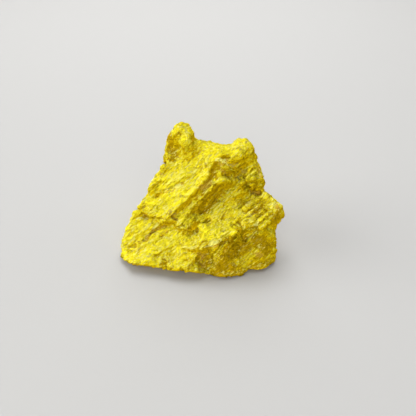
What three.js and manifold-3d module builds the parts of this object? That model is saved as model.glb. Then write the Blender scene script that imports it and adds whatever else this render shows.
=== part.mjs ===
// A hand-sized lump of orpiment, broken from a foliated vein: one natural solid.
// Millimetres, +Z up, origin at the bottom centre of the lump, front towards -Y.
//
// The lump is a signed field, negative inside: convex blocks with slightly worn edges are
// joined, hollows and gashes are taken out, and noise bends the faces and steps the sheets.
// The field is meshed on a grid, and a flat resting face is sawn off at z = 0.
import * as THREE from "three";
import { ConvexHull } from "three/addons/math/ConvexHull.js";
import { ImprovedNoise } from "three/addons/math/ImprovedNoise.js";
import { mergeVertices } from "three/addons/utils/BufferGeometryUtils.js";
import Module from "manifold-3d";

// Driving dimensions
const GRID_STEP = 1.25; // edge of one meshing cell
const GRID_LOW = new THREE.Vector3(-26, -21, -16);
const GRID_HIGH = new THREE.Vector3(27, 20, 38);
const EDGE_WEAR = 0.5; // rounding of a block's own edges
const JOINT_FILL = 0.7; // rounding where two blocks meet

// Foliation: the stone splits along sheets that lie parallel to its big sloping face. Each
// sheet's edge climbs over most of its pitch and then drops back.
const SHEETS = {
  normal: new THREE.Vector3(-0.34, -0.56, 0.75).normalize(),
  pitch: 3.1,
  relief: 0.4,
  climb: 0.78,
  wander: { size: 7, reach: 1.9, seed: 5.2 },
};

const SWAY = { size: 9, reach: 0.5, seeds: [1.3, 4.7, 8.1] }; // slow bending of every face
const LUMPS = { size: 3.2, reach: 0.6, seed: 2.9 }; // lumps and pits a few millimetres across

// Convex blocks. Each is the hull of its outer corners, [x, y, z], and of the same corners
// moved by `into`, which buries it in the core.
const BLOCKS = {
  // the heart of the lump, behind everything that shows
  core: {
    into: [0, 0, 0],
    corners: [
      [-5, 7, 25], [8, 5, 26], [12, 4, 25], [-12, 4, 14], [-2, -3, 14], [6, 0, 18], [15, 0, 18],
      [-17, -4, -2], [19, -8, -2], [6, -13, -2], [-10, -11, -2], [0, -10, 7], [12, -8, 11],
      [-15, 6, -2], [16, 8, -2], [0, 14, -2], [12, 11, 10], [-10, 10, 12],
    ],
  },
  // the big slab: its top face falls to the left, and its right edge is the crest
  slab: {
    into: [4, 6, -9],
    corners: [
      [6, -1, 27.5], [4.7, -2.2, 25.7], [2.3, -3.5, 23.1], [-2.5, -6.8, 17.2], [-8, -9.1, 11.9],
      [-15.5, -4.5, 12], [-18.2, -2, 12.4], [-13.2, 0.6, 16.6], [-11.9, 3.5, 21],
      [-10.6, 4.6, 23.3], [-6, 4.2, 25.2], [1.2, 3.2, 28.5], [6, 1.6, 29.9],
    ],
  },
  // a second sheet that shows below the crest
  step: {
    into: [4, 6, -9],
    corners: [
      [8, -4, 24], [6, -5.1, 22.3], [2.8, -6.4, 19.3], [-0.4, -7.9, 16.1],
      [-3.3, -9.3, 13.1], [-6.1, -9.7, 11.1], [4.7, -1.5, 25], [-6.7, -7.9, 12.4],
    ],
  },
  // the floor of the trough between the second sheet and the flank
  trough: {
    into: [0, 8, -6],
    corners: [
      [7.3, 0.1, 20.3], [3.9, -3.5, 17.3], [1.2, -6.6, 14.8], [-1.2, -9.6, 12.4],
      [8.9, -1.5, 18.3], [6.1, -5, 15.4], [3.4, -8.3, 12.7],
    ],
  },
  // the low shelf in the mouth of the hollow
  sill: {
    into: [0, 8, -4],
    corners: [
      [4.7, -1.2, 23.9], [8.8, -0.4, 22.8], [11.3, -0.8, 21.4], [9.4, -1.6, 19.4], [6.1, -2.6, 20.6],
    ],
  },
  // the roof over the hollow, from the crest to the knob
  crown: {
    into: [0, 7, -4],
    corners: [
      [1, 6, 29], [9, 6, 29.3], [14, 6, 28.5], [6, -1, 27.5], [8.5, -1, 26.4], [12, -0.5, 26.3],
      [13.5, 1, 26.5], [6, 1.6, 29.7], [11, 1.5, 28.5],
    ],
  },
  knob: {
    into: [0, 5, -4],
    corners: [
      [9, 6, 29.5], [11, 6, 30.3], [13, 6, 30.1], [15, 6, 27.8], [14, 2.5, 28.1], [10.5, 3, 28.9],
    ],
  },
  // the column below the knob, at the right of the hollow
  column: {
    into: [-1, 8, -4],
    corners: [
      [12, -0.5, 26.3], [15, 4, 27.5], [16.4, 4, 25.2], [16.7, 2.5, 23.5], [16.9, 1, 21.6],
      [17.8, -1, 19.6], [13, -1.5, 24.4], [17, -3.5, 19.3], [13, -2.5, 20.5],
    ],
  },
  // the low neck between the horn and the crown
  neck: {
    into: [1, 5, -4],
    corners: [
      [-1.5, 6, 28.7], [0.1, 6.8, 29.8], [2, 6, 29.2], [-2.6, 4.2, 27.2], [0.1, 3.6, 27.6],
      [-9.3, 5, 23.6], [-10.8, 5.5, 22.8], [-9.8, 7, 26], [-7.5, 4.3, 25.3],
      [2.5, 3, 28.6],
    ],
  },
  // the blunt horn that stands behind the slab's upper left corner
  horn: {
    into: [1, 4, -5],
    corners: [
      [-5.2, 9.5, 33.6], [-7, 9.2, 33], [-3.2, 9.2, 32.8], [-6, 7.5, 31], [-4.3, 5.5, 29.4],
      [-3.2, 4.2, 27.9], [-9.2, 9.5, 29.5], [-10.4, 8.8, 25], [-10.8, 7.5, 22.5], [-6.8, 6, 23.6],
      [-2.5, 5, 25], [-1.6, 6.5, 28.7], [-2.2, 9, 30.5],
    ],
  },
  // the flank between the trough and the prow
  flank: {
    into: [-2, 8, -6],
    corners: [
      [9.5, -0.5, 20.3], [8, -4.5, 16.7], [4.5, -8.4, 13.5], [2, -10, 11.5], [6.9, -8.3, 13.1],
      [11, -6.6, 13.9], [13.8, -4.7, 15.2], [17.2, -2.5, 16.7], [17.3, -0.5, 20], [13.9, 0, 20.8],
    ],
  },
  // the prow: a ledge that juts out on the right
  prow: {
    into: [-3, 6, -5],
    corners: [
      [18.7, -3, 18], [21.2, -4, 17.2], [23.2, -5.3, 16.3], [24.2, -6.5, 15], [21.6, -10.1, 13.4],
      [16.5, -12.2, 13.3], [12.7, -12.6, 14], [10.7, -10.4, 15.6], [12.5, -6.9, 17],
      [15.3, -4.4, 17.8], [21.5, -9, 11],
    ],
  },
  // the bench in front of the trough, ending in a lip
  bench: {
    into: [-1, 7, -3],
    corners: [
      [1, -15.9, 9.2], [3.3, -15.3, 9.8], [6, -14.8, 10.7], [8.6, -14.3, 11.4], [11.2, -13.4, 12.1],
      [12.6, -12, 12.8], [10.8, -10.1, 13.7], [6.8, -9.3, 13.8], [2.8, -9.7, 13.1],
      [-0.1, -11.9, 11.4], [-0.9, -14.3, 10],
    ],
  },
  // the steep wall below the bench
  wall: {
    into: [-1, 9, 0],
    corners: [
      [2.5, -15.2, 9], [6, -14.9, 9.9], [10.4, -13.8, 11], [10.8, -14.4, 7], [3.5, -15.9, 4],
      [6, -17, 4.5], [10.4, -15.4, 3.6], [12.4, -16.2, -1], [8.8, -17.7, -1], [5.8, -17.7, -1],
      [3.4, -17.2, -1], [2.2, -16.4, -1],
    ],
  },
  // the back of the cleft between the wall and the cheek
  cleft: {
    into: [-1, 9, 0],
    corners: [
      [9, -12.8, 11], [15, -11, 10.5], [9, -14.5, 3.2], [15, -13, 3.2], [9, -15.2, -1], [16, -13.8, -1],
    ],
  },
  // the rounded mass below the prow
  cheek: {
    into: [-1, 9, 0],
    corners: [
      [14, -11.2, 10.5], [17, -10.7, 11.5], [21.2, -8.5, 10.8], [21.4, -9.5, 6.7],
      [21.5, -10.6, 3.3], [21.2, -11.4, -1], [19.6, -13.2, -1], [17.3, -14.2, -1],
      [14.5, -14.6, -1], [13.6, -13.2, 5.5], [15.9, -13.7, 4.6], [18.7, -12.4, 5.3],
    ],
  },
  // the low left end
  toe: {
    into: [4, 8, -3],
    corners: [
      [-19.2, -1.8, 11.2], [-14.1, -3.3, 11.2], [-11.1, -5.2, 10.8], [-7.6, -7.6, 10.2],
      [-3.7, -10.7, 9.1], [-0.9, -13.1, 8.3], [-21.6, -4.5, 7.4], [-23.1, -6.2, 4.8],
      [-23.3, -8.1, 3], [-22.2, -10.2, 1.1], [-20.2, -12.3, 0.5], [-15.9, -13.4, 1.1],
      [-12.2, -14.5, 1.4], [-8.5, -15.4, 1.6], [-5.2, -16, 2], [-16, -12.6, -2], [-6, -14.6, -2],
    ],
  },
  // the foot in the middle, with a small buttress
  foot: {
    into: [0, 6, 0],
    corners: [
      [-4.3, -11.7, 6.2], [-0.9, -13.9, 7.9], [-0.1, -15, 6.4], [-0.9, -16, 3.6], [-1.5, -15.8, -1],
      [-3.7, -15.5, -1], [-6.5, -14.6, 2.5], [-7, -12.2, 5.2], [2.5, -14.3, 8], [3, -15.4, -1],
    ],
  },
  // the plain broken back, steep and nearly flat
  rear: {
    into: [0, -4, 0],
    corners: [
      [-14, 9, 0], [-10, 13, -2], [-10, 12, 14], [-8, 12, 22], [-5, 12.5, 27], [6, 12.5, 27],
      [12, 12, 26], [13, 12.5, 16], [10, 15, 4], [15, 12, -2], [-2, 15.5, -2], [-4, 15, 12],
      [-15, 6, 8], [-16, 4, -2], [16, 4, -2],
    ],
  },
  // a thick sheet that clings to the lower half of the back
  rump: {
    into: [0, -5, 0],
    corners: [
      [1, 14, 15], [6, 16, 11], [14, 13, 12], [16, 11, 4], [15, 13, -1], [7, 17, -1], [2, 16.5, 3],
    ],
  },
};

// Hollows taken out, each an ellipsoid: centre, half axes, and a turn about Y then X in degrees.
const HOLLOWS = [
  { centre: [9, -1.3, 24.6], half: [3.2, 2, 1.3], turn: [10, 0] }, // under the crest
];

// Gashes taken out along a line, each a round-bottomed groove.
const GASHES = [
  { from: [-11.1, -6, 10.2], to: [-18.2, -9, 3.6], radius: 0.8 }, // between two lobes of the toe
  { from: [-11.7, -1, 15.9], to: [-5.9, -2, 20.1], radius: 0.5 }, // along the slab
  { from: [17, 0, 22.9], to: [12.2, -1.3, 20.6], radius: 0.7 }, // three that comb the column
  { from: [17.3, -1, 20.9], to: [11.9, -2.3, 18.5], radius: 0.7 },
  { from: [16.5, -3.5, 18.8], to: [12.7, -4, 17.8], radius: 0.8 },
];

const FAR = 1e3; // farther than any distance in the field
const noise = new ImprovedNoise();
const ripple = (p, size, seed) =>
  noise.noise(p.x / size + seed, p.y / size - seed, p.z / size + 2 * seed);

function smoothMax(a, b, r) {
  const h = Math.max(r - Math.abs(a - b), 0) / r;
  return Math.max(a, b) + (h * h * r) / 4;
}

const smoothMin = (a, b, r) => -smoothMax(-a, -b, r);

function blockField({ corners, into }) {
  const outer = corners.map((c) => new THREE.Vector3(...c));
  const inner = outer.map((c) => c.clone().add(new THREE.Vector3(...into)));
  const hull = new ConvexHull().setFromPoints([...outer, ...inner]);
  const faces = hull.faces.map((f) => ({ normal: f.normal.clone(), reach: f.constant }));
  return (p) =>
    faces.reduce((d, f) => smoothMax(d, f.normal.dot(p) - f.reach, EDGE_WEAR), -FAR);
}

function hollowField({ centre, half, turn }) {
  const place = new THREE.Matrix4()
    .makeTranslation(...centre)
    .multiply(new THREE.Matrix4().makeRotationY(THREE.MathUtils.degToRad(turn[0])))
    .multiply(new THREE.Matrix4().makeRotationX(THREE.MathUtils.degToRad(turn[1])))
    .invert();
  const local = new THREE.Vector3();
  return (p) => {
    local.copy(p).applyMatrix4(place);
    const k = Math.hypot(local.x / half[0], local.y / half[1], local.z / half[2]);
    return (k - 1) * Math.min(...half);
  };
}

function gashField({ from, to, radius }) {
  const line = new THREE.Line3(new THREE.Vector3(...from), new THREE.Vector3(...to));
  const near = new THREE.Vector3();
  return (p) => line.closestPointToPoint(p, true, near).distanceTo(p) - radius;
}

// The relief of the sheets' edges, from -0.5 to 0.5.
function sheetStep(p) {
  const { normal, pitch, climb, wander } = SHEETS;
  const across = (p.dot(normal) + wander.reach * ripple(p, wander.size, wander.seed)) / pitch;
  const share = across - Math.floor(across);
  return (share < climb ? share / climb : (1 - share) / (1 - climb)) - 0.5;
}

function stoneField() {
  const blocks = Object.values(BLOCKS).map(blockField);
  const cuts = [...HOLLOWS.map(hollowField), ...GASHES.map(gashField)];
  const bent = new THREE.Vector3();
  return (p) => {
    bent.set(...SWAY.seeds.map((seed) => ripple(p, SWAY.size, seed)));
    bent.multiplyScalar(SWAY.reach).add(p);
    let d = blocks.reduce((best, f) => smoothMin(best, f(bent), JOINT_FILL), FAR);
    d = cuts.reduce((best, f) => smoothMax(best, -f(bent), JOINT_FILL), d);
    return d - LUMPS.reach * ripple(p, LUMPS.size, LUMPS.seed) - SHEETS.relief * sheetStep(p);
  };
}

// Meshes the zero level of a field: one point in each cell that it crosses, drawn to the
// surface, and one square across each grid edge that changes sign.
function meshField(field, low, high, step) {
  const size = high.clone().sub(low).divideScalar(step).ceil();
  const [nx, ny, nz] = [size.x + 1, size.y + 1, size.z + 1];
  const index = (i, j, k) => i + nx * (j + ny * k);
  const at = (i, j, k) => new THREE.Vector3(i, j, k).multiplyScalar(step).add(low);
  const values = new Float64Array(nx * ny * nz);
  for (let k = 0; k < nz; k++)
    for (let j = 0; j < ny; j++)
      for (let i = 0; i < nx; i++) values[index(i, j, k)] = field(at(i, j, k));

  settleChequers(values, [nx, ny, nz]);

  const corners = [0, 1, 2, 3, 4, 5, 6, 7].map((c) => [c & 1, (c >> 1) & 1, c >> 2]);
  const edges = corners.flatMap((a, m) =>
    [1, 2, 4].filter((bit) => !(m & bit)).map((bit) => [a, corners[m | bit]]));
  const positions = [];
  const pointOf = new Map();
  for (let k = 0; k < nz - 1; k++)
    for (let j = 0; j < ny - 1; j++)
      for (let i = 0; i < nx - 1; i++) {
        const sum = new THREE.Vector3();
        let crossings = 0;
        for (const [a, b] of edges) {
          const va = values[index(i + a[0], j + a[1], k + a[2])];
          const vb = values[index(i + b[0], j + b[1], k + b[2])];
          if (va < 0 === vb < 0) continue;
          const start = at(i + a[0], j + a[1], k + a[2]);
          sum.add(start.lerp(at(i + b[0], j + b[1], k + b[2]), va / (va - vb)));
          crossings++;
        }
        if (!crossings) continue;
        pointOf.set(index(i, j, k), positions.length / 3);
        positions.push(...drawToSurface(field, sum.divideScalar(crossings), step).toArray());
      }

  const triangles = [];
  const square = (a, b, c, d, flip) => {
    const [p, q, r, s] = [a, b, c, d].map((cell) => pointOf.get(cell));
    triangles.push(...(flip ? [p, q, r, p, r, s] : [p, r, q, p, s, r]));
  };
  for (let k = 1; k < nz - 1; k++)
    for (let j = 1; j < ny - 1; j++)
      for (let i = 1; i < nx - 1; i++) {
        const inside = values[index(i, j, k)] < 0;
        const here = index(i, j, k);
        const [sx, sy, sz] = [1, nx, nx * ny];
        if (inside !== values[here + sx] < 0)
          square(here, here - sy, here - sy - sz, here - sz, inside);
        if (inside !== values[here + sy] < 0)
          square(here, here - sz, here - sz - sx, here - sx, inside);
        if (inside !== values[here + sz] < 0)
          square(here, here - sx, here - sx - sy, here - sy, inside);
      }
  return { positions: new Float32Array(positions), triangles: new Uint32Array(triangles) };
}

// Where the four corners of a grid square are in, out, in, out around it, two sheets of surface
// would share an edge, so the outer corner nearest to the surface is taken in.
function settleChequers(values, [nx, ny, nz]) {
  const barely = 1e-3;
  const strides = [1, nx, nx * ny];
  for (let changed = true; changed; ) {
    changed = false;
    for (let start = 0; start < values.length; start++)
      for (const [s, t] of [[0, 1], [1, 2], [2, 0]]) {
        const square = [0, strides[s], strides[s] + strides[t], strides[t]].map((o) => start + o);
        if (square[2] >= nx * ny * nz) continue;
        const inside = square.map((c) => values[c] < 0);
        if (inside[0] !== inside[2] || inside[1] !== inside[3] || inside[0] === inside[1]) continue;
        const [a, b] = square.filter((c) => values[c] >= 0);
        values[values[a] < values[b] ? a : b] = -barely;
        changed = true;
      }
  }
}

// Moves a point along the field's slope until it lies on the surface, within its own cell.
function drawToSurface(field, p, step) {
  const nudge = 0.02;
  const leastSlope = 0.5;
  const farthest = 0.6 * step;
  const start = p.clone();
  for (let pass = 0; pass < 3; pass++) {
    const value = field(p);
    const slope = new THREE.Vector3(
      field(p.clone().setX(p.x + nudge)) - value,
      field(p.clone().setY(p.y + nudge)) - value,
      field(p.clone().setZ(p.z + nudge)) - value,
    ).divideScalar(nudge);
    p.addScaledVector(slope, -value / Math.max(slope.lengthSq(), leastSlope ** 2));
  }
  return p.sub(start).clampLength(0, farthest).add(start);
}

const wasm = await Module();
wasm.setup();

function solidOf({ positions, triangles }) {
  return new wasm.Manifold(
    new wasm.Mesh({ numProp: 3, vertProperties: positions, triVerts: triangles }));
}

function geometryOf(solid) {
  const mesh = solid.getMesh();
  return new THREE.BufferGeometry()
    .setAttribute("position", new THREE.BufferAttribute(mesh.vertProperties, 3))
    .setIndex(new THREE.BufferAttribute(mesh.triVerts, 1));
}

// Everything below z = 0 is sawn away, which leaves one flat face to rest on.
function saw() {
  const reach = 100;
  const box = new THREE.BoxGeometry(reach, reach, reach).translate(0, 0, -reach / 2);
  box.deleteAttribute("normal").deleteAttribute("uv");
  const merged = mergeVertices(box);
  return solidOf({
    positions: merged.getAttribute("position").array,
    triangles: new Uint32Array(merged.index.array),
  });
}

// The field can leave a loose crumb or a closed void: only the largest shell is the stone.
const shells = solidOf(meshField(stoneField(), GRID_LOW, GRID_HIGH, GRID_STEP)).decompose();
const [whole] = shells.sort((a, b) => b.volume() - a.volume());
const lump = geometryOf(whole.subtract(saw()));

// The origin moves to the middle of the bounding box's bottom.
lump.computeBoundingBox();
const middle = lump.boundingBox.getCenter(new THREE.Vector3());
lump.translate(-middle.x, -middle.y, 0);

const stone = new THREE.Mesh(
  lump,
  new THREE.MeshStandardMaterial({ name: "orpiment", color: 0xd9c21a, roughness: 0.7 }));
stone.name = "orpiment";

const group = new THREE.Group();
group.add(stone);
export default group;
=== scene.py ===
import math
import bpy
import numpy as np
from mathutils import Matrix, Vector, noise
from mathutils.bvhtree import BVHTree


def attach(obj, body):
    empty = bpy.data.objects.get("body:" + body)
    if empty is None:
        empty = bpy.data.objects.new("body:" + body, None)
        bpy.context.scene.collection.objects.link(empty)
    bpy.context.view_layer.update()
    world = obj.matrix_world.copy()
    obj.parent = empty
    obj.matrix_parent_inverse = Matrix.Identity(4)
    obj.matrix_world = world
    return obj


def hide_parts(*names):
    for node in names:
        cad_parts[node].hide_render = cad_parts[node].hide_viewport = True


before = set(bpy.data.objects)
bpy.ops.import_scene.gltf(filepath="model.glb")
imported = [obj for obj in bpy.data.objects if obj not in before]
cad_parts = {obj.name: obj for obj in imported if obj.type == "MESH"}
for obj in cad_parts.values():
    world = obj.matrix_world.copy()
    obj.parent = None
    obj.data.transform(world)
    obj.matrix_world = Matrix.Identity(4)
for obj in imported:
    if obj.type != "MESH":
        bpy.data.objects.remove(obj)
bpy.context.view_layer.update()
mm = 0.001

# camera
view = {
    "place": (2.1, -103.7, 83.7),   # mm
    "tiltDown": 35,                 # degrees below level
    "width": 416,                   # pixels, as is the height
    "focal": 440,                   # pixels
    "sensor": 36,                   # mm
    "nearest": 1,                   # mm, nothing closer is drawn
}


def addCamera():
    camera = bpy.data.cameras.new("camera")
    camera.sensor_width = view["sensor"]
    camera.lens = view["sensor"] * view["focal"] / view["width"]
    camera.clip_start = view["nearest"] * mm
    holder = bpy.data.objects.new("camera", camera)
    holder.location = Vector(view["place"]) * mm
    holder.rotation_euler = (math.radians(90 - view["tiltDown"]), 0, 0)
    bpy.context.scene.collection.objects.link(holder)
    bpy.context.scene.camera = holder
    bpy.context.view_layer.update()
    return holder


camera = addCamera()
print("camera set")

# the lump's fine mesh
lump = {
    "weld": 0.001,       # mm, corners closer than this are one
    "voxel": 0.262,      # mm, edge of the fine mesh
    "soften": 8,         # smoothing steps that take the block's facets off
    "fillSteps": 300,    # smoothing steps where a pit is levelled
    "frontDepth": 8,     # mm, nothing behind this is levelled
    "settle": 2,         # smoothing steps after the broad strokes
    "turnedAway": 0.02,  # a point that faces the camera less than this isn't seen
    "clearOf": 0.5,      # mm, what hides a point stands further off than this
    "seed": 7,           # of the noise that bends the strokes and the chips
}
noise.seed_set(lump["seed"])


def addModifier(piece, name, kind, **settings):
    modifier = piece.modifiers.new(name, kind)
    for key, value in settings.items():
        setattr(modifier, key, value)
    bpy.ops.object.modifier_apply(modifier=name)


def makeLump():
    bpy.ops.object.select_all(action="DESELECT")
    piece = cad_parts["orpiment"].copy()
    piece.data = piece.data.copy()
    piece.name = "orpimentLump"
    piece.data.name = "orpimentLump"
    piece.parent = None
    piece.matrix_world = Matrix.Identity(4)
    bpy.context.scene.collection.objects.link(piece)
    piece.select_set(True)
    bpy.context.view_layer.objects.active = piece
    bpy.ops.object.mode_set(mode="EDIT")
    bpy.ops.mesh.select_all(action="SELECT")
    bpy.ops.mesh.remove_doubles(threshold=lump["weld"] * mm)
    bpy.ops.object.mode_set(mode="OBJECT")
    addModifier(piece, "fineMesh", "REMESH", mode="VOXEL", voxel_size=lump["voxel"] * mm)
    addModifier(piece, "soften", "SMOOTH", factor=0.5, iterations=lump["soften"])
    return piece


def readPoints(piece):
    places = np.empty((len(piece.data.vertices), 3))
    normals = np.empty_like(places)
    piece.data.vertices.foreach_get("co", places.ravel())
    piece.data.vertex_normals.foreach_get("vector", normals.ravel())
    return places / mm, normals


def writePoints(piece, places):
    piece.data.vertices.foreach_set("co", (places * mm).ravel())
    piece.data.update()


def markPoints(piece, name, values):
    piece.data.attributes.new(name, "FLOAT", "POINT").data.foreach_set("value", values)


# averages each point's values with its neighbours', step after step
def blurPoints(piece, values, steps):
    ends = np.empty(len(piece.data.edges) * 2, np.int64)
    piece.data.edges.foreach_get("vertices", ends)
    a, b = ends.reshape(-1, 2).T
    count = np.bincount(a, minlength=len(values)) + np.bincount(b, minlength=len(values))
    blurred = values.copy()
    for step in range(steps):
        for axis in range(values.shape[1]):
            column = blurred[:, axis]
            near = np.bincount(a, column[b], len(values)) + np.bincount(b, column[a], len(values))
            blurred[:, axis] = (column + near / count) / 2
    return blurred


# where the points stand in the camera's view, in pixels
def viewSpots(places):
    axes = np.array(camera.matrix_world.to_3x3())
    right, up, back = ((places - np.array(view["place"])) @ axes).T
    half = view["width"] / 2
    return np.stack((half - view["focal"] * right / back, half + view["focal"] * up / back), axis=1)


def towardsCamera(places):
    way = np.array(view["place"]) - places
    return way / np.linalg.norm(way, axis=1)[:, None]


# which points the camera sees
def seenPoints(piece, places, normals):
    way = towardsCamera(places)
    facing = (way * normals).sum(axis=1) > lump["turnedAway"]
    tree = BVHTree.FromObject(piece, bpy.context.evaluated_depsgraph_get())
    starts = (places + way * lump["clearOf"]) * mm
    seen = [facing[i] and tree.ray_cast(Vector(starts[i]), Vector(way[i]))[0] is None
            for i in range(len(places))]
    return np.array(seen)


lumpPiece = makeLump()
print("fine mesh:", len(lumpPiece.data.vertices), "points")


# The strokes are drawn on the lump as the camera sees it. A path is in pixels of the view, size is
# the stroke's half width in pixels, and height is in mm, outwards.
# A groove is a sharp line, a dome a soft one, and a ledge is a sheet that ends sharply along its path
# and runs out on the left of it. A fill levels a pit, and its height is the share of the pit that it
# takes. A stroke with a step is drawn count times in all, each a step further on. One that goes
# through moves the hidden points behind it too.
pits = {
    "hornFootPit": {"kind": "fill", "path": [(166, 160), (178, 158)], "size": 9, "height": 1},
    "slabPit": {"kind": "fill", "path": [(148, 192), (158, 190)], "size": 9, "height": 1},
    "slabSeam": {"kind": "fill", "path": [(140, 213), (158, 217), (180, 222)], "size": 9, "height": 0.8},
    "troughEnd": {"kind": "fill", "path": [(184, 226), (194, 230)], "size": 15, "height": 1},
    "notchPit": {"kind": "fill", "path": [(202, 147), (206, 149)], "size": 6, "height": 1},
    "hollow": {"kind": "fill", "path": [(222, 168), (242, 168)], "size": 15, "height": 1},
}
outlineStrokes = {
    "hornFoot": {"kind": "dome", "path": [(164, 151), (164, 165)], "size": 8, "height": 1.0},
    "hornTip": {"kind": "dome", "path": [(182, 122)], "size": 6, "height": 0.3},
    "crestDip": {"kind": "dome", "path": [(222, 142), (231, 142)],
                 "size": 6, "height": -0.7, "through": True},
    "knobLeft": {"kind": "dome", "path": [(237, 141), (241, 140)],
                 "size": 5, "height": 0.4, "through": True},
    "knobRight": {"kind": "dome", "path": [(246, 141), (252, 149)], "size": 6, "height": 0.8},
    "prowTop": {"kind": "dome", "path": [(274, 201), (278, 204)], "size": 6, "height": 0.7},
    "prowRight": {"kind": "dome", "path": [(283, 216)], "size": 6, "height": 0.6},
    "cheekRight": {"kind": "dome", "path": [(275, 240), (275, 250)], "size": 6, "height": 0.6},
    "cheekFoot": {"kind": "dome", "path": [(246, 271), (256, 268), (264, 266)],
                  "size": 6, "height": 0.5},
    "footFront": {"kind": "dome", "path": [(218, 277), (238, 276)], "size": 7, "height": 0.6},
    "cornerLeft": {"kind": "dome", "path": [(126, 261), (132, 264)], "size": 6, "height": 0.7},
    "cornerTuck": {"kind": "dome", "path": [(118, 254), (121, 259)], "size": 5, "height": -1.2},
    "toeSide": {"kind": "dome", "path": [(119, 240), (119, 247)], "size": 5, "height": -0.4},
    "leftShoulder": {"kind": "dome", "path": [(137, 208), (135, 212)], "size": 7, "height": 0.9},
    "shoulderTuck": {"kind": "dome", "path": [(131, 211)], "size": 4, "height": -0.4, "through": True},
    "shoulderFill": {"kind": "dome", "path": [(139, 205), (135, 209)],
                     "size": 4, "height": 0.4, "through": True},
    "underColumn": {"kind": "dome", "path": [(264, 191)], "size": 5, "height": 0.6, "through": True},
    "slabSide": {"kind": "dome", "path": [(154, 176), (149, 188)], "size": 8, "height": 0.8},
    "hornRight": {"kind": "dome", "path": [(190, 141), (193, 145)], "size": 7, "height": 0.6},
}
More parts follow.
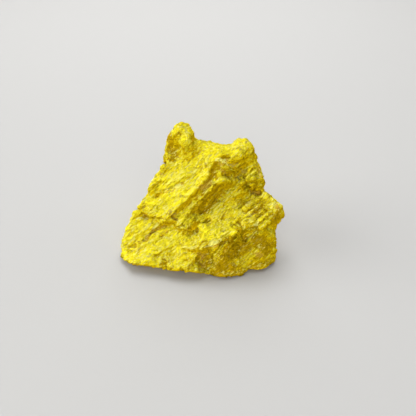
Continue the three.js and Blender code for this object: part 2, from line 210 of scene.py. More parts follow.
broadStrokes = {
    # the horn
    "hornBrow": {"kind": "dome", "path": [(173, 136), (180, 134)], "size": 7, "height": 0.7},
    "hornWaist": {"kind": "dome", "path": [(172, 152), (181, 149)], "size": 9, "height": -1.3},
    "hornChest": {"kind": "dome", "path": [(187, 145), (188, 150)], "size": 11, "height": 1.5},
    "hornRidge": {"kind": "ledge", "path": [(180, 128), (182, 138), (184, 149)],
                  "size": 16, "height": 0.9},
    "notch": {"kind": "groove", "path": [(192, 140), (191, 148), (188, 155)], "size": 4, "height": -0.8},
    "hornSwell": {"kind": "dome", "path": [(188, 134), (189, 143)], "size": 10, "height": 0.4},
    # the sloping slab
    "slabTop": {"kind": "ledge", "path": [(166, 163), (176, 160), (186, 156), (194, 152)],
                "size": 7, "height": -0.35},
    "slabSeamFill": {"kind": "dome", "path": [(140, 213), (156, 217), (178, 221)],
                     "size": 6, "height": 0.6},
    "slabLeftEdge": {"kind": "dome", "path": [(156, 178), (150, 190), (144, 202)],
                     "size": 6, "height": 0.4},
    "slabTerrace": {"kind": "ledge", "path": [(160, 194), (170, 190), (180, 184), (190, 176)],
                    "size": 10, "height": 0.3},
    "slabTerraceLow": {"kind": "ledge", "path": [(150, 206), (162, 205), (174, 200), (184, 193)],
                       "size": 8, "height": 0.25},
    "crestLedge": {"kind": "ledge", "path": [(168, 220), (178, 210), (188, 200), (197, 191), (205, 183),
                                             (210, 175), (212, 167), (217, 161), (226, 163)],
                   "size": 12, "height": 0.9},
    "scarp": {"kind": "groove", "path": [(214, 168), (212, 176), (207, 186), (198, 195), (188, 205),
                                         (178, 215)],
              "size": 3.5, "height": -0.6},
    "secondRidge": {"kind": "ledge", "path": [(180, 224), (188, 214), (196, 206), (205, 197), (213, 189),
                                              (218, 184)], "size": 6, "height": 0.9},
    "trough": {"kind": "groove", "path": [(220, 189), (213, 198), (206, 207), (200, 214)],
               "size": 6, "height": -0.9},
    "troughEndLumps": {"kind": "dome", "path": [(186, 228), (198, 225)], "size": 12, "height": 2.5},
    "troughEndStep": {"kind": "ledge", "path": [(186, 233), (194, 226), (202, 218)],
                      "size": 6, "height": 0.6},
    "troughMouth": {"kind": "groove", "path": [(196, 229), (198, 232)], "size": 3, "height": -0.2},
    # the hollow and what stands round it
    "crownSwell": {"kind": "dome", "path": [(240, 157), (244, 153)], "size": 14, "height": 1.3},
    "hollowRoof": {"kind": "ledge", "path": [(217, 163), (226, 165), (236, 163), (246, 164)],
                   "size": 8, "height": 0.45},
    "hollowFloor": {"kind": "dome", "path": [(224, 169), (238, 169)], "size": 10, "height": 2.6},
    "hollowSill": {"kind": "dome", "path": [(226, 182), (236, 181), (246, 178)],
                   "size": 8, "height": 0.5},
    "flankSwell": {"kind": "dome", "path": [(228, 194), (238, 188)], "size": 9, "height": 0.8},
    "flankStep": {"kind": "ledge", "path": [(222, 206), (230, 200), (238, 196), (248, 192)],
                  "size": 8, "height": 0.5},
    "columnFoot": {"kind": "dome", "path": [(242, 184), (256, 185)], "size": 11, "height": 1.5},
    # the prow
    "prowLedge": {"kind": "ledge", "path": [(240, 229), (247, 231), (255, 230), (264, 228), (270, 222),
                                            (276, 215), (281, 209)], "size": 6, "height": 0.7},
    "prowFall": {"kind": "dome", "path": [(279, 218), (272, 225)], "size": 9, "height": -1.2},
    "prowNotchFill": {"kind": "dome", "path": [(262, 194), (268, 198)], "size": 6, "height": 1.2},
    # the bench, the wall and the buttress
    "benchLedge": {"kind": "ledge", "path": [(188, 250), (197, 249), (206, 248), (214, 245), (222, 242),
                                             (230, 238), (238, 233)], "size": 8, "height": 1.0},
    "benchBack": {"kind": "groove", "path": [(200, 222), (214, 222), (228, 220), (238, 222)],
                  "size": 5, "height": -0.6},
    "buttress": {"kind": "ledge", "path": [(191, 266), (194, 261), (198, 254), (202, 250)],
                 "size": 9, "height": 1.2},
    "darkFace": {"kind": "dome", "path": [(204, 257), (206, 264)], "size": 11, "height": -1.5},
    "combedFace": {"kind": "ledge", "path": [(222, 262), (228, 252), (236, 242), (241, 235)],
                   "size": 9, "height": 0.8},
    "cleft": {"kind": "dome", "path": [(246, 238), (241, 250), (236, 260)], "size": 8, "height": -1.0},
    "cheekSwell": {"kind": "dome", "path": [(260, 254)], "size": 10, "height": 0.5},
    # the toes
    "toeLedge": {"kind": "ledge", "path": [(144, 241), (148, 236), (153, 230), (158, 227), (166, 225)],
                 "size": 8, "height": 0.7},
    "toeSwell": {"kind": "dome", "path": [(148, 256), (164, 254)], "size": 11, "height": 1.0},
    "toeTerrace": {"kind": "ledge", "path": [(150, 262), (160, 252), (172, 246), (182, 240)],
                   "size": 9, "height": 0.3},
    "toeLeft": {"kind": "dome", "path": [(124, 246), (126, 256)], "size": 6, "height": 0.3},
}
fineStrokes = {
    "toeCrack": {"kind": "groove", "path": [(166, 226), (159, 228), (152, 233), (147, 238)],
                 "size": 1.6, "height": -0.6},
    "toeHoles": {"kind": "groove", "path": [(139, 243), (147, 240)], "size": 2, "height": -0.6},
    "toeFork": {"kind": "groove", "path": [(168, 232), (160, 238), (154, 244)],
                "size": 1.8, "height": -0.6},
    "slopePit": {"kind": "groove", "path": [(143, 215), (146, 218)], "size": 3.4, "height": -1.4},
    "slopeNotch": {"kind": "groove", "path": [(173, 216), (176, 219)], "size": 2.6, "height": -1.1},
    "slopeLine": {"kind": "groove", "path": [(148, 219), (158, 218), (168, 219)],
                  "size": 1.6, "height": -0.5},
    "slopeStreaks": {"kind": "groove", "path": [(158, 191), (166, 190), (174, 186), (184, 179)],
                     "size": 1.8, "height": -0.3},
    "hornPits": {"kind": "groove", "path": [(176, 131), (180, 134)], "size": 2, "height": -0.3},
    "hornLine": {"kind": "groove", "path": [(168, 160), (176, 157), (186, 154)],
                 "size": 1.6, "height": -0.5},
    "crestPit": {"kind": "groove", "path": [(223, 158), (229, 157)], "size": 2, "height": -1.0},
    "hollowSide": {"kind": "groove", "path": [(218, 168), (224, 174)], "size": 3, "height": -0.6},
    "columnCombs": {"kind": "ledge", "path": [(240, 180), (246, 175), (253, 168)],
                    "size": 3.8, "height": 1.1, "step": (2.6, 3.6), "count": 4},
    "overhang": {"kind": "groove", "path": [(250, 190), (255, 193), (259, 193)],
                 "size": 3.2, "height": -1.2},
    "prowStreaks": {"kind": "ledge", "path": [(240, 207), (254, 197)], "size": 3.6, "height": 1.1,
                    "step": (4.2, 4.2), "count": 6},
    "benchCrack": {"kind": "groove", "path": [(240, 231), (232, 240), (226, 248), (222, 255)],
                   "size": 1.6, "height": -0.9},
    "wallHatch": {"kind": "groove", "path": [(214, 254), (223, 241)], "size": 1.1, "height": -0.55,
                  "step": (3, 0.4), "count": 8},
    "benchHatch": {"kind": "groove", "path": [(231, 225), (238, 230)], "size": 1.3, "height": -0.8,
                   "step": (3, -1.6), "count": 3},
    "wallPocket": {"kind": "groove", "path": [(243, 232), (245, 240)], "size": 3, "height": -0.8},
    "wallShade": {"kind": "groove", "path": [(240, 236), (234, 246), (230, 256)],
                  "size": 3, "height": -0.7},
    "troughHoles": {"kind": "groove", "path": [(196, 229), (197, 232)], "size": 2, "height": -0.5},
    "lamellae": {"kind": "groove", "path": [(184, 217), (195, 205), (206, 195), (215, 185)],
                 "size": 1.3, "height": -0.6, "step": (4.5, 2.5), "count": 3},
    "bottomNotch": {"kind": "groove", "path": [(165, 259), (166, 267)], "size": 3, "height": -1.0},
}

# The front edge hangs clear of the floor: its seen points are pulled towards the camera, so that it
# looks the same from there.
overhang = {"kind": "dome", "path": [(134, 266), (150, 268), (170, 271), (190, 273), (198, 273)],
            "size": 14, "height": 3.3}

drawing = {
    "dot": 0.01,           # pixels, length of the line that a path with one point becomes
    "ledgeDrop": 1.2,      # pixels, over which a ledge ends
    "bendSize": 1.1,       # mm on the lump, size of the bends in a stroke's edges
    "bendReach": 1.6,      # pixels
    "tintBendSize": 0.7,   # the same for the patches of tint
    "tintBendReach": 2.4,
}


# how strongly a stroke acts on each point, from where the point stands in the view
def strokeHeight(spots, stroke, shift=0):
    path = np.array(stroke["path"], float) + shift
    if len(path) == 1:
        path = np.vstack((path, path + drawing["dot"]))
    nearest = np.full(len(spots), np.inf)
    side = np.ones(len(spots))
    for start, end in zip(path[:-1], path[1:]):
        run = end - start
        along = np.clip(((spots - start) @ run) / (run @ run), 0, 1)
        offset = spots - start - along[:, None] * run
        distance = np.linalg.norm(offset, axis=1)
        closer = distance < nearest
        nearest = np.where(closer, distance, nearest)
        side = np.where(closer, np.sign(run[1] * offset[:, 0] - run[0] * offset[:, 1]), side)
    reach = np.clip(1 - nearest / stroke["size"], 0, 1)
    if stroke["kind"] == "groove":
        return stroke["height"] * reach
    if stroke["kind"] == "ledge":
        drop = np.clip(1 - nearest / drawing["ledgeDrop"], 0, 1)
        return stroke["height"] * np.where(side > 0, reach, np.minimum(drop, reach))
    return stroke["height"] * (1 - (1 - reach) ** 2) ** 2


def bendSpots(places, size, reach):
    bend = [noise.noise_vector(Vector(place) / size) for place in places]
    return viewSpots(places) + np.array(bend)[:, :2] * reach


def levelPits(piece):
    places = readPoints(piece)[0]
    spots = viewSpots(places)
    levelled = blurPoints(piece, places, lump["fillSteps"])
    front = places[:, 1] < lump["frontDepth"]
    for stroke in pits.values():
        share = strokeHeight(spots, stroke) * front
        places += (levelled - places) * share[:, None]
    writePoints(piece, places)


def hangEdge(piece):
    places, normals = readPoints(piece)
    pull = strokeHeight(viewSpots(places), overhang) * seenPoints(piece, places, normals)
    writePoints(piece, places + towardsCamera(places) * pull[:, None])


# The strokes fade out below the height of fadeBelow, in mm.
def drawStrokes(piece, strokes, fadeBelow):
    places, normals = readPoints(piece)
    seen = seenPoints(piece, places, normals)
    spots = bendSpots(places, drawing["bendSize"], drawing["bendReach"])
    heights = np.zeros(len(places))
    for stroke in strokes.values():
        reached = seen | stroke.get("through", False)
        for copy in range(stroke.get("count", 1)):
            shift = np.array(stroke.get("step", (0, 0))) * copy
            heights += strokeHeight(spots, stroke, shift) * reached
    heights *= np.clip(places[:, 2] / fadeBelow, 0, 1)
    writePoints(piece, places + normals * heights[:, None])


levelPits(lumpPiece)
drawStrokes(lumpPiece, outlineStrokes, fadeBelow=0.01)
hangEdge(lumpPiece)
drawStrokes(lumpPiece, broadStrokes, fadeBelow=2)
addModifier(lumpPiece, "settle", "SMOOTH", factor=0.5, iterations=lump["settle"])
print("broad strokes drawn")

# The mineral grows in blades that lie in sheets: bladeRun is along the blades, and sheetUp is across
# the sheets.
bladeRun = Vector((0.75, 0.25, 0.6)).normalized()
sheetUp = Vector((-0.34, -0.56, 0.75))
sheetUp = (sheetUp - bladeRun * sheetUp.dot(bladeRun)).normalized()
bladeSide = sheetUp.cross(bladeRun)
toBlades = Matrix((bladeRun, bladeSide, sheetUp))

# Each grain breaks the surface into chips. size is in mm, along the blades, across them and through
# the sheets. tilt leans each chip its own way and lift sets it higher or lower than its neighbours,
# both in mm over one chip. shift, in chips, keeps the grains from lining up.
grains = {
    "plates": {"size": (6.5, 2.4, 1.6), "tilt": 0.08, "lift": 0.08, "shift": (3, 1, 4)},
    "blades": {"size": (3.2, 1.1, 0.8), "tilt": 0.10, "lift": 0.10, "shift": (1, 5, 9)},
    "crumbs": {"size": (2.0, 0.5, 0.42), "tilt": 0.13, "lift": 0.15, "shift": (2, 6, 5)},
}
chipping = {
    "wanderSize": 1.6,     # mm, size of the bends in the chips' edges
    "wanderReach": 0.35,   # mm
    "fadeBelow": 2,        # mm, the chips fade out below this height
    "leanDraw": 91.7,      # spread the chips' seeds, so that neighbours lean and stand differently
    "levelDraw": 57.3,
}


def chipHeight(place, grain):
    spot = toBlades @ place
    spot = Vector([spot[i] / grain["size"][i] + grain["shift"][i] for i in range(3)])
    seed = noise.voronoi(spot)[1][0]
    lean = noise.cell_vector(seed * chipping["leanDraw"]) * 2 - Vector((1, 1, 1))
    level = noise.cell(seed * chipping["levelDraw"])
    return grain["tilt"] * lean.dot(spot - seed) + grain["lift"] * (level - 0.5)


def breakSurface(piece):
    places, normals = readPoints(piece)
    heights = []
    for place in places:
        place = Vector(place)
        place += noise.noise_vector(place / chipping["wanderSize"]) * chipping["wanderReach"]
        fade = min(place.z / chipping["fadeBelow"], 1)
        heights.append(fade * sum(chipHeight(place, grain) for grain in grains.values()))
    writePoints(piece, places + normals * np.array(heights)[:, None])


breakSurface(lumpPiece)
drawStrokes(lumpPiece, fineStrokes, fadeBelow=1)
print("surface broken")

# The bottom edge is undercut, and the underside stays flat on the floor.
base = {
    "undercut": 1.2,   # mm
    "below": 0.8,      # mm, height of the undercut
    "bulge": 0.45,     # mm
    "bulgeAt": 1.3,    # mm, height at which the bulge is widest
    "level": 0.9,      # a face that looks up or down more than this stays
    "gentlest": 0.3,   # a face that looks outwards less than this moves less
}


def settleBase(piece):
    places, normals = readPoints(piece)
    outwards = np.linalg.norm(normals[:, :2], axis=1)
    outward = normals[:, :2] / np.maximum(outwards, base["gentlest"])[:, None]
    height = places[:, 2]
    tuck = -base["undercut"] * np.clip(1 - height / base["below"], 0, 1)
    bulge = base["bulge"] * np.clip(1 - np.abs(height - base["bulgeAt"]) / base["bulgeAt"], 0, 1)
    steep = np.abs(normals[:, 2]) < base["level"]
    places[:, :2] += outward * (tuck + bulge)[:, None] * steep[:, None]
    places[:, 2] = np.maximum(places[:, 2], 0)
    writePoints(piece, places)


settleBase(lumpPiece)
print("base settled")

# Patches of other tints, where height is how strong the tint gets. The lighter yellow patches are
# painted light, the darker gold ones painted shade, and the cream ones partly painted highlight.
tints = {
    "ochre": {
        "scarpPatch": {"path": [(201, 187), (206, 185), (210, 182)], "size": 4.5, "height": 1},
        "crestLip": {"path": [(219, 164), (224, 164)], "size": 2.6, "height": 1},
        "crestWedge": {"path": [(225, 161), (228, 159)], "size": 2, "height": 1},
        "hollowFloor": {"path": [(223, 171), (226, 174)], "size": 2.6, "height": 0.8},
        "slopeHole": {"path": [(145, 216), (146, 219)], "size": 2.6, "height": 1},
        "slopeHoleRight": {"path": [(174, 218), (176, 220)], "size": 2.2, "height": 1},
        "frontCorner": {"path": [(199, 254), (203, 256)], "size": 4, "height": 0.9},
        "frontStain": {"path": [(200, 262), (203, 266)], "size": 4, "height": 0.7},
        "benchStain": {"path": [(215, 246), (223, 243)], "size": 3, "height": 0.5},
        "cheekPatch": {"path": [(257, 254), (261, 255)], "size": 4, "height": 1},
        "cheekSpot": {"path": [(261, 240)], "size": 1.8, "height": 1},
        "prowPatch": {"path": [(275, 204), (278, 209)], "size": 3, "height": 0.9},
        "footStain": {"path": [(224, 265), (226, 262)], "size": 2.6, "height": 0.7},
        "footStainRight": {"path": [(232, 272)], "size": 3, "height": 0.7},
        "overhangStain": {"path": [(254, 193), (259, 193)], "size": 3.4, "height": 1},
        "toeCrackStain": {"path": [(146, 238), (152, 232), (158, 228), (165, 226)],
                          "size": 1.8, "height": 0.9},
        "toeForkStain": {"path": [(160, 236), (168, 231)], "size": 1.4, "height": 0.7},
        "slabStain": {"path": [(161, 192), (172, 191), (178, 186), (186, 180)],
                      "size": 1.8, "height": 0.6},
        "slabEdgeStain": {"path": [(160, 172), (164, 176)], "size": 2.4, "height": 0.6},
        "farLeftStain": {"path": [(128, 262), (136, 265)], "size": 3, "height": 0.5},
        "columnStain": {"path": [(258, 166), (261, 178)], "size": 2.2, "height": 0.7},
    },
    "grey": {
        "hornFleck": {"path": [(178, 131), (178, 134)], "size": 1.8, "height": 1},
        "crestFleck": {"path": [(204, 163)], "size": 2.4, "height": 0.9},
        "knobFleck": {"path": [(246, 142)], "size": 1.8, "height": 0.8},
        "knobLine": {"path": [(237, 148), (243, 150)], "size": 1.6, "height": 0.8},
        "hollowPatch": {"path": [(232, 165), (238, 165)], "size": 3.6, "height": 0.5},
        "hollowRim": {"path": [(242, 170), (247, 173)], "size": 3, "height": 0.6},
        "slopePatch": {"path": [(169, 212), (174, 214)], "size": 3.4, "height": 0.7},
        "slopeTopFleck": {"path": [(180, 195), (184, 197)], "size": 2.4, "height": 0.5},
        "troughMouthPatch": {"path": [(194, 229), (198, 228)], "size": 2.4, "height": 0.6},
        "farLeftFleck": {"path": [(143, 210), (144, 207)], "size": 1.8, "height": 0.7},
        "toeFleck": {"path": [(139, 243), (146, 240)], "size": 1.8, "height": 0.7},
    },
    # cream tone, partly painted highlight on rims and lips that catch the light
    "creamHighlight": {
        "crestRim": {"path": [(216, 159), (222, 160), (228, 165)], "size": 2.2, "height": 1},
        "crestSpot": {"path": [(241, 155)], "size": 2, "height": 1},
        "crestEdge": {"path": [(206, 178), (208, 170)], "size": 2.4, "height": 0.5},
        "slabSpots": {"path": [(176, 187), (183, 185)], "size": 2.6, "height": 0.6},
        "benchLip": {"path": [(205, 247), (213, 244), (221, 240)], "size": 2.4, "height": 1},
        "benchLipLeft": {"path": [(188, 248), (196, 247)], "size": 1.8, "height": 0.9},
        "benchCombs": {"path": [(198, 234), (201, 242)], "size": 1.6, "height": 0.6},
        "toeSheet": {"path": [(147, 234), (153, 229), (158, 226)], "size": 3, "height": 0.4},
        "farLeftCream": {"path": [(122, 243), (122, 248)], "size": 2.2, "height": 1},
        "leftPatch": {"path": [(137, 219), (141, 218)], "size": 2.4, "height": 0.7},
        "slopeCream": {"path": [(164, 208), (167, 206)], "size": 2.2, "height": 0.9},
        "prowWhite": {"path": [(251, 214), (251, 218)], "size": 2, "height": 1},
        "prowFacet": {"path": [(244, 219), (248, 216)], "size": 3, "height": 0.5},
        "prowUpper": {"path": [(246, 205), (249, 203)], "size": 2.4, "height": 0.7},
        "prowLower": {"path": [(255, 226), (258, 220)], "size": 2, "height": 1},
        "prowFoot": {"path": [(244, 227)], "size": 2.2, "height": 0.9},
        "prowFootRight": {"path": [(262, 228)], "size": 1.8, "height": 0.9},
        "prowTip": {"path": [(271, 208), (274, 206)], "size": 2.4, "height": 0.9},
        "prowRim": {"path": [(272, 200), (276, 203)], "size": 1.8, "height": 0.9},
        "hornTipCream": {"path": [(178, 126), (182, 127)], "size": 2.2, "height": 0.8},
        "hornSideCream": {"path": [(186, 130), (188, 133)], "size": 1.6, "height": 0.7},
    },
    # painted light: lighter yellow where the lump should look more lit
    "litLemon": {
        "hornSide": {"path": [(185, 127), (187, 140), (188, 146)], "size": 6, "height": 1},
        "crownFace": {"path": [(222, 150), (240, 151)], "size": 8, "height": 1},
        "troughEnd": {"path": [(184, 220), (196, 217), (202, 224)], "size": 8, "height": 0.9},
        "hollowBed": {"path": [(224, 169), (240, 168)], "size": 6, "height": 0.4},
        "benchFace": {"path": [(204, 232), (228, 229)], "size": 9, "height": 1},
        "toeFace": {"path": [(152, 246), (174, 240)], "size": 11, "height": 1},
        "columnFace": {"path": [(248, 176), (258, 172)], "size": 7, "height": 0.9},
        "crest": {"path": [(174, 180), (192, 168)], "size": 12, "height": 0.8},
        "slabFace": {"path": [(156, 208), (184, 190)], "size": 12, "height": 0.8},
        "knobFace": {"path": [(244, 146)], "size": 6, "height": 0.8},
    },
    # painted shade: darker gold where the lump should look more shaded
    "shadePatch": {
        "hornLeft": {"path": [(170, 136), (171, 150), (176, 154)], "size": 6, "height": 0.8},
        "wallFace": {"path": [(236, 246), (246, 246)], "size": 10, "height": 0.8},
        "cheekFace": {"path": [(254, 238), (266, 248)], "size": 12, "height": 0.8},
        "frontFace": {"path": [(204, 256), (208, 268), (216, 264)], "size": 8, "height": 0.5},
        "footFace": {"path": [(218, 267), (232, 267)], "size": 8, "height": 1},
        "prowFace": {"path": [(252, 214), (262, 208)], "size": 9, "height": 0.5},
        "prowEndFace": {"path": [(274, 220), (279, 212)], "size": 6, "height": 0.9},
        "hollowLip": {"path": [(214, 171), (216, 178)], "size": 4, "height": 0.8},
        "toeNotchFace": {"path": [(162, 265), (168, 262)], "size": 4, "height": 0.8},
        "troughFace": {"path": [(196, 211), (206, 200)], "size": 6, "height": 0.7},
        "troughBed": {"path": [(204, 212), (216, 198)], "size": 6, "height": 0.7},
        "footRim": {"path": [(214, 273), (230, 275), (244, 271)], "size": 6, "height": 1},
        "cheekRim": {"path": [(250, 267), (262, 265), (272, 261)], "size": 5, "height": 0.9},
        "toeLeftFace": {"path": [(130, 248), (136, 250)], "size": 8, "height": 0.45},
        "wallLow": {"path": [(222, 258), (234, 252)], "size": 9, "height": 0.9},
        "wallPocketFace": {"path": [(245, 234), (246, 238)], "size": 3, "height": 1},
    },
}


def paintTints(piece):
    places, normals = readPoints(piece)
    seen = seenPoints(piece, places, normals)
    spots = bendSpots(places, drawing["tintBendSize"], drawing["tintBendReach"])
    for name, patches in tints.items():
        strength = np.zeros(len(places))
        for patch in patches.values():
            strength = np.maximum(strength, strokeHeight(spots, {"kind": "dome", **patch}) * seen)
        markPoints(piece, name, strength)


paintTints(lumpPiece)
print("tints painted")

# the lump's finish
yellow = {
    # painted light and shade: a lit yellow, the gold, and a shaded gold
    "litLemon": (0.985, 0.86, 0.022, 1),
    "gold": (0.95, 0.70, 0.001, 1),
    "shadeGold": (0.74, 0.475, 0.001, 1),
    # painted highlight: glints on the lit faces
    "glintStraw": (1.0, 0.91, 0.12, 1),
    # painted shade: gaps and flecks on the shaded faces
    "shadeAmber": (0.54, 0.33, 0.001, 1),
    "ochre": (0.82, 0.54, 0.045, 1),
    "grey": (0.6, 0.45, 0.07, 1),
    # cream tone with painted highlight
    "creamHighlight": (1.0, 0.93, 0.21, 1),
    # painted shade for the darker patches
    "shadePatch": (0.62, 0.40, 0.001, 1),
    "specular": 0.03,
    # sizes in mm, along the blades, across them and through the sheets
    "flakes": (2.2, 0.5, 0.42),
    "specks": (1.1, 0.22, 0.2),
    "fibres": (2.6, 0.3, 0.26),
    "paintedLightClouds": (2.4, 1.1, 0.8),
    "gapShadeClouds": (1.6, 0.9, 0.7),
    "bendReach": (0.6, 0.22, 0.22),
    "bendsPerMetre": 900,
    "bendDetail": 2,
    "grainDetail": 3,
    "grainRoughness": 0.6,
    # relief too small for the mesh
    "flakeLean": 1.2,                # how far the chips lean, against how far they stand out
    "speckLean": 2,
    "fibreBump": 0.44,               # mm
    "flakeBump": 0.24,
    "speckBump": 0.22,
    # painted light and shade: faces that look this way, towards the lights, are painted lighter
    "paintedLightFrom": (-0.35, 0.1, 0.93),
    "paintedLightBlur": 2,                   # smoothing steps
    "paintedLightCloudShare": 0.3,                # how much the clouds and the fibres add to it
    "paintedLightFibreShare": 0.5,
    "reliefSteps": 6,                # smoothing steps, creases and edges are what they take off
    "patchStrength": 1.6,            # weight of a patch of tint, against the flakes' own draw
    # a colour or a mask sets in at the first value and is full at the second
    "shadeToGoldRange": (0.6, 1.0),
    "goldToLitRange": (0.9, 1.25),
    "litRange": (0.95, 1.25),
    "shadedRange": (1.5, 0.9),
    "crease": (-0.05, -0.16),        # mm of relief
    "patchEdge": (1.0, 1.3),
    "glintFlakes": (0.82, 0.9),
    "highlightSpecks": (0.82, 0.9),
    "flakeGapShade": (0.16, 0.02),
    "gapShadeRange": (0.44, 0.56),
    "shadeSpecks": (0.2, 0.0),
    "patchSpeckRange": (0.1, 0.4),
    "roughSpecks": (1.6, 0.75),
}


# How far each point stands out from the lump's smoothed shape, in mm.
def markRelief(piece):
    places, normals = readPoints(piece)
    relief = ((places - blurPoints(piece, places, yellow["reliefSteps"])) * normals).sum(axis=1)
    markPoints(piece, "relief", relief)
    print("relief from", relief.min().round(2), "to", relief.max().round(2))


# Painted light and shade: faces that look up and to the left, towards the lights, get high values and
# those turned away low ones, on a scale of 0 to 1.
def markPaintedLight(piece):
    normals = blurPoints(piece, readPoints(piece)[1], yellow["paintedLightBlur"])
    paintedLight = 0.5 + 0.5 * normals @ np.array(Vector(yellow["paintedLightFrom"]).normalized())
    markPoints(piece, "paintedLight", paintedLight)
    print("dust from", paintedLight.min().round(2), "to", paintedLight.max().round(2))


markRelief(lumpPiece)
markPaintedLight(lumpPiece)


def newNode(tree, kind, **settings):
    node = tree.nodes.new(kind)
    for key, value in settings.items():
        setattr(node, key, value)
    return node


# Another node's output is linked to the socket, and a number or a colour is set on it.
def feed(tree, socket, value):
    if isinstance(value, bpy.types.NodeSocket):
        tree.links.new(value, socket)
    else:
        socket.default_value = value


def combine(tree, operation, *values):
    node = newNode(tree, "ShaderNodeMath", operation=operation)
    for socket, value in zip(node.inputs, values):
        feed(tree, socket, value)
    return node.outputs[0]


def combineVectors(tree, operation, *values):
    node = newNode(tree, "ShaderNodeVectorMath", operation=operation)
    for socket, value in zip(node.inputs, values):
        feed(tree, socket, value)
    return node.outputs["Value" if operation == "DOT_PRODUCT" else "Vector"]


def newMaterial(name):
    material = bpy.data.materials.new(name)
    material.use_nodes = True
    tree = material.node_tree
    tree.nodes.clear()
    shader = newNode(tree, "ShaderNodeBsdfPrincipled")
    out = newNode(tree, "ShaderNodeOutputMaterial")
    feed(tree, out.inputs["Surface"], shader.outputs[0])
    return material, tree, shader


# Chips too small for the mesh: each cell stands at its own level and leans its own way.
def makeChipGroup():
    group = bpy.data.node_groups.new("mineralChips", "ShaderNodeTree")
    group.interface.new_socket("Place", in_out="INPUT", socket_type="NodeSocketVector")
    group.interface.new_socket("Lean", in_out="INPUT", socket_type="NodeSocketFloat")
    for name in ("Height", "Tint", "Border"):
        group.interface.new_socket(name, in_out="OUTPUT", socket_type="NodeSocketFloat")
    entry = newNode(group, "NodeGroupInput")
    leave = newNode(group, "NodeGroupOutput")
    cells = newNode(group, "ShaderNodeTexVoronoi")
    borders = newNode(group, "ShaderNodeTexVoronoi", feature="DISTANCE_TO_EDGE")
    for texture in (cells, borders):
        feed(group, texture.inputs["Scale"], 1)
        feed(group, texture.inputs["Vector"], entry.outputs["Place"])
    split = newNode(group, "ShaderNodeSeparateColor")
    feed(group, split.inputs[0], cells.outputs["Color"])
    offset = combineVectors(group, "SUBTRACT", entry.outputs["Place"], cells.outputs["Position"])
    lean = combineVectors(group, "SUBTRACT", cells.outputs["Color"], (0.5, 0.5, 0.5))
    slope = combineVectors(group, "DOT_PRODUCT", offset, lean)
    height = combine(group, "MULTIPLY_ADD", slope, entry.outputs["Lean"], split.outputs["Red"])
    feed(group, leave.inputs["Height"], height)
    feed(group, leave.inputs["Tint"], split.outputs["Green"])
    feed(group, leave.inputs["Border"], borders.outputs["Distance"])
    return group


# the place on the lump, turned so that x runs along the blades, and bent a little
def bladePlace(tree):
    coordinates = newNode(tree, "ShaderNodeTexCoord")
    turn = newNode(tree, "ShaderNodeMapping")
    feed(tree, turn.inputs["Vector"], coordinates.outputs["Object"])
    feed(tree, turn.inputs["Rotation"], toBlades.to_euler())
    bend = newNode(tree, "ShaderNodeTexNoise")
    feed(tree, bend.inputs["Vector"], turn.outputs[0])
    feed(tree, bend.inputs["Scale"], yellow["bendsPerMetre"])
    feed(tree, bend.inputs["Detail"], yellow["bendDetail"])
    reach = [length * mm for length in yellow["bendReach"]]
    return combineVectors(tree, "MULTIPLY_ADD", bend.outputs["Color"], reach, turn.outputs[0])


def spread(tree, place, name):
    return combineVectors(tree, "MULTIPLY", place, [1 / (length * mm) for length in yellow[name]])


def clouds(tree, place, name):
    texture = newNode(tree, "ShaderNodeTexNoise")
    feed(tree, texture.inputs["Vector"], spread(tree, place, name))
    feed(tree, texture.inputs["Scale"], 1)
    feed(tree, texture.inputs["Detail"], yellow["grainDetail"])
    feed(tree, texture.inputs["Roughness"], yellow["grainRoughness"])
    return texture.outputs["Fac"]


def chips(tree, group, place, name, lean):
    node = newNode(tree, "ShaderNodeGroup", node_tree=group)
    feed(tree, node.inputs["Place"], spread(tree, place, name))
    feed(tree, node.inputs["Lean"], lean)
    return node.outputs


def marked(tree, name):
    return newNode(tree, "ShaderNodeAttribute", attribute_name=name).outputs["Fac"]


# 0 up to the first value of the named pair, 1 from the second on
def mask(tree, value, name):
    node = newNode(tree, "ShaderNodeMapRange")
    feed(tree, node.inputs["Value"], value)
    feed(tree, node.inputs["From Min"], yellow[name][0])
    feed(tree, node.inputs["From Max"], yellow[name][1])
    return node.outputs[0]


def tinted(tree, colour, name, factor):
    node = newNode(tree, "ShaderNodeMix", data_type="RGBA")
    feed(tree, node.inputs[0], factor)
    feed(tree, node.inputs[6], colour)         # 6 and 7 are the sockets of the two colours
    feed(tree, node.inputs[7], yellow[name])
    return node.outputs[2]


def raised(tree, height, name, onto=None):
    bump = newNode(tree, "ShaderNodeBump")
    feed(tree, bump.inputs["Strength"], 1)
    feed(tree, bump.inputs["Distance"], yellow[name] * mm)
    feed(tree, bump.inputs["Height"], height)
    if onto:
        feed(tree, bump.inputs["Normal"], onto)
    return bump.outputs[0]


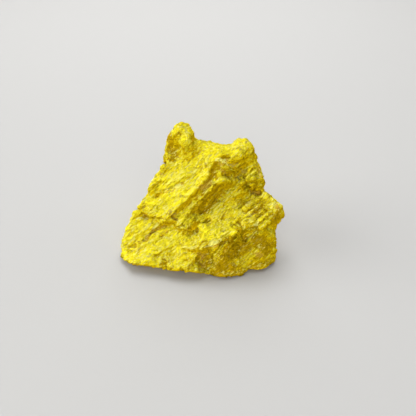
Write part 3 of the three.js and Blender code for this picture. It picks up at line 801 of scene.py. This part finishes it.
def yellowColour(tree, place, flakes, specks, fibres):
    # painted light and shade from how each face turns to the lights, broken up by clouds and fibres
    paintedLight = combine(tree, "MULTIPLY_ADD", clouds(tree, place, "paintedLightClouds"), yellow["paintedLightCloudShare"],
                   marked(tree, "paintedLight"))
    paintedLight = combine(tree, "MULTIPLY_ADD", fibres, yellow["paintedLightFibreShare"], paintedLight)
    lit = mask(tree, paintedLight, "litRange")
    shaded = mask(tree, paintedLight, "shadedRange")
    patches = {}
    for name in tints:
        strength = combine(tree, "MULTIPLY_ADD", marked(tree, name), yellow["patchStrength"],
                           flakes["Tint"])
        patches[name] = mask(tree, strength, "patchEdge")

    # gold, painted lighter on the faces towards the lights and darker on those turned away and in the
    # creases, then the large patches
    colour = tinted(tree, yellow["shadeGold"], "gold", mask(tree, paintedLight, "shadeToGoldRange"))
    colour = tinted(tree, colour, "litLemon", mask(tree, paintedLight, "goldToLitRange"))
    # painted shade: darker gold in the creases
    colour = tinted(tree, colour, "shadeGold", mask(tree, marked(tree, "relief"), "crease"))
    # the large patches: painted light, painted shade, and ochre
    for name in ("litLemon", "shadePatch", "ochre"):
        colour = tinted(tree, colour, name, patches[name])

    # painted highlights: light glints on the lit faces; painted shade: dark gaps and flecks on the
    # shaded ones
    glintFlecks = combine(tree, "MULTIPLY", mask(tree, flakes["Tint"], "glintFlakes"), lit)
    colour = tinted(tree, colour, "glintStraw", glintFlecks)
    highlightFlecks = combine(tree, "MULTIPLY", mask(tree, specks["Tint"], "highlightSpecks"), lit)
    colour = tinted(tree, colour, "creamHighlight", highlightFlecks)
    # painted shade: dark gaps between the flakes and dark flecks, on the shaded faces
    shadedGaps = combine(tree, "MULTIPLY", mask(tree, flakes["Border"], "flakeGapShade"),
                   mask(tree, clouds(tree, place, "gapShadeClouds"), "gapShadeRange"))
    colour = tinted(tree, colour, "shadeAmber", combine(tree, "MULTIPLY", shadedGaps, shaded))
    shadeFlecks = combine(tree, "MULTIPLY", mask(tree, specks["Tint"], "shadeSpecks"), shaded)
    colour = tinted(tree, colour, "shadeAmber", shadeFlecks)

    # grey patches and cream patches of painted highlight, broken into specks, lie over all of it
    patchSpeckles = mask(tree, specks["Tint"], "patchSpeckRange")
    for name in ("grey", "creamHighlight"):
        colour = tinted(tree, colour, name, combine(tree, "MULTIPLY", patches[name], patchSpeckles))
    return colour


def makeYellow():
    material, tree, shader = newMaterial("orpimentYellow")
    group = makeChipGroup()
    place = bladePlace(tree)
    flakes = chips(tree, group, place, "flakes", yellow["flakeLean"])
    specks = chips(tree, group, place, "specks", yellow["speckLean"])
    fibres = clouds(tree, place, "fibres")
    normal = raised(tree, fibres, "fibreBump")
    normal = raised(tree, flakes["Height"], "flakeBump", normal)
    normal = raised(tree, specks["Height"], "speckBump", normal)
    feed(tree, shader.inputs["Base Color"], yellowColour(tree, place, flakes, specks, fibres))
    feed(tree, shader.inputs["Roughness"], mask(tree, specks["Tint"], "roughSpecks"))
    feed(tree, shader.inputs["Normal"], normal)
    feed(tree, shader.inputs["Specular IOR Level"], yellow["specular"])
    return material


lumpPiece.data.materials.clear()
lumpPiece.data.materials.append(makeYellow())
lumpPiece.data.shade_smooth()
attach(lumpPiece, "root")
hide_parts("orpiment")
print("lump finished")

# floor and light
studio = {
    "floorSize": 3,                      # m
    "floorColour": (0.41, 0.406, 0.396, 1),
    "floorRoughness": 0.7,
    "distance": 0.9,                     # m, from the lump to each light
    "lightSize": 0.8,                    # m
    "fill": 0.03,                        # strength of the light from all round
    "fillColour": (1, 1, 1, 1),
}
lights = {                               # direction towards the light, and its power in W
    "window": {"towards": (-0.94, 0, 0.34), "power": 8.6},
    "ceiling": {"towards": (0, 0.3, 0.95), "power": 5.7},
    "room": {"towards": (0, -0.94, 0.34), "power": 7.2},
    "backWall": {"towards": (0, 0.71, 0.71), "power": 6.0},
    "rightWall": {"towards": (0.85, 0.25, 0.46), "power": 1.8},
}


def makeFloor():
    bpy.ops.mesh.primitive_plane_add(size=studio["floorSize"])
    floor = bpy.context.object
    floor.name = "floor"
    material, tree, shader = newMaterial("paleFloor")
    feed(tree, shader.inputs["Base Color"], studio["floorColour"])
    feed(tree, shader.inputs["Roughness"], studio["floorRoughness"])
    floor.data.materials.append(material)


def addLight(name, light):
    data = bpy.data.lights.new(name, "AREA")
    data.energy = light["power"]
    data.size = studio["lightSize"]
    lamp = bpy.data.objects.new(name, data)
    direction = Vector(light["towards"]).normalized()
    lamp.location = direction * studio["distance"]
    lamp.rotation_euler = direction.to_track_quat("Z", "Y").to_euler()
    bpy.context.scene.collection.objects.link(lamp)


def addWorld():
    world = bpy.data.worlds.new("studio")
    world.use_nodes = True
    background = world.node_tree.nodes["Background"]
    background.inputs["Strength"].default_value = studio["fill"]
    background.inputs["Color"].default_value = studio["fillColour"]
    bpy.context.scene.world = world


makeFloor()
addWorld()
for name, light in lights.items():
    addLight(name, light)
bpy.context.scene.view_settings.view_transform = "Standard"
print("floor and light set")
